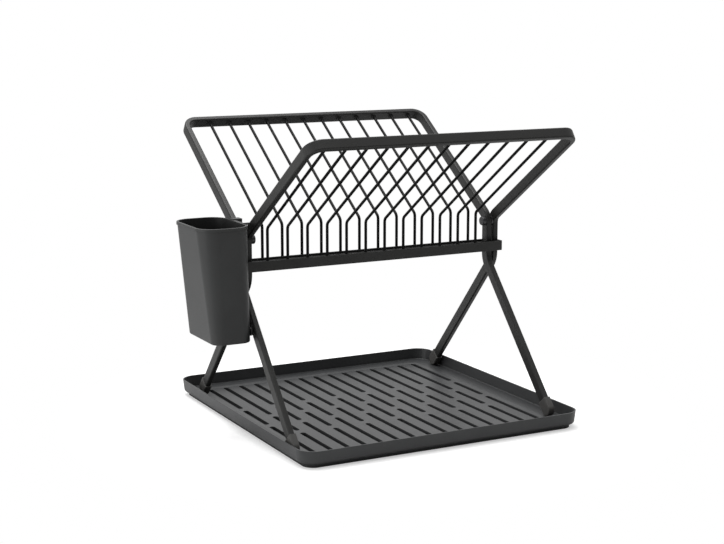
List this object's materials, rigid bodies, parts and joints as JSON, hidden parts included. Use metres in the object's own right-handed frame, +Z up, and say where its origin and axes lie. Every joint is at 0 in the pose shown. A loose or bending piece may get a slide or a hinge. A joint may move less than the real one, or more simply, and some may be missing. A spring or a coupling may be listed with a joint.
{
  "type": "dish drying rack",
  "caption": "Folding dish drying rack with two wire wings in crossed tube frames, a hook-on cutlery basket and a shallow grooved drip tray.",
  "frame": {"origin": "centre of the drip tray, in the plane of its underside where it stands", "axes": "+Z up, +X along the rack's length with the cutlery basket at -X, +Y to the back, away from the flat front bar"},
  "size_m": [0.489, 0.434, 0.409],
  "materials": {
    "tray_plastic": "moulded, fine satin grain",
    "frame_paint": "satin powder coat",
    "wire_coating": "glossy dipped coating",
    "bar_paint": "satin powder coat",
    "basket_plastic": "moulded, satin",
    "foot_rubber": "matt",
    "knob_plastic": "smooth",
    "pivot_steel": "blackened steel"
  },
  "bodies": {
    "drip_tray": {"drip_tray": "tray_plastic"},
    "foot_pins": {"rear_foot_pin_left": "pivot_steel", "rear_foot_pin_right": "pivot_steel"},
    "front_wing": {"front_wing_frame": "frame_paint", "front_wire_01": "wire_coating", "front_wire_02": "wire_coating", "front_wire_03": "wire_coating", "front_wire_04": "wire_coating", "front_wire_05": "wire_coating", "front_wire_06": "wire_coating", "front_wire_07": "wire_coating", "front_wire_08": "wire_coating", "front_wire_09": "wire_coating", "front_wire_10": "wire_coating", "front_wire_11": "wire_coating", "front_wire_12": "wire_coating", "front_rod": "wire_coating", "front_bar": "bar_paint", "bar_screw": "pivot_steel", "rear_foot_cap_left": "foot_rubber", "rear_foot_cap_right": "foot_rubber", "pivot_pin_right": "pivot_steel", "pivot_washer_right": "knob_plastic", "pivot_knob_right": "knob_plastic"},
    "rear_wing": {"rear_wing_frame": "frame_paint", "rear_wire_01": "wire_coating", "rear_wire_02": "wire_coating", "rear_wire_03": "wire_coating", "rear_wire_04": "wire_coating", "rear_wire_05": "wire_coating", "rear_wire_06": "wire_coating", "rear_wire_07": "wire_coating", "rear_wire_08": "wire_coating", "rear_wire_09": "wire_coating", "rear_wire_10": "wire_coating", "rear_wire_11": "wire_coating", "rear_wire_12": "wire_coating", "rear_rod": "wire_coating", "front_foot_cap_left": "foot_rubber", "front_foot_cap_right": "foot_rubber", "pivot_pin_left": "pivot_steel", "pivot_washer_left": "knob_plastic", "pivot_knob_left": "knob_plastic"},
    "basket": {"cutlery_basket": "basket_plastic", "basket_hook": "basket_plastic", "basket_spacer": "basket_plastic"}
  },
  "joints": [
    {"name": "rack_lift", "type": "slide", "parent": "drip_tray", "child": "foot_pins", "axis": [0, 0, 1], "range_m": [0, 0.06]},
    {"name": "rear_foot_roll", "type": "hinge", "parent": "foot_pins", "child": "front_wing", "pos_m": [0, 0.165, 0.0163], "axis": [1, 0, 0], "range_deg": [-36, 0]},
    {"name": "fold", "type": "hinge", "parent": "front_wing", "child": "rear_wing", "pos_m": [0, 0, 0.2591], "axis": [1, 0, 0], "range_deg": [0, 72]},
    {"name": "basket_lift", "type": "slide", "parent": "rear_wing", "child": "basket", "axis": [0, 0, 1], "range_m": [0, 0.06]}
  ],
  "couplings": [
    {"joint": "rear_foot_roll", "follows": "fold", "ratio": -0.5}
  ]
}
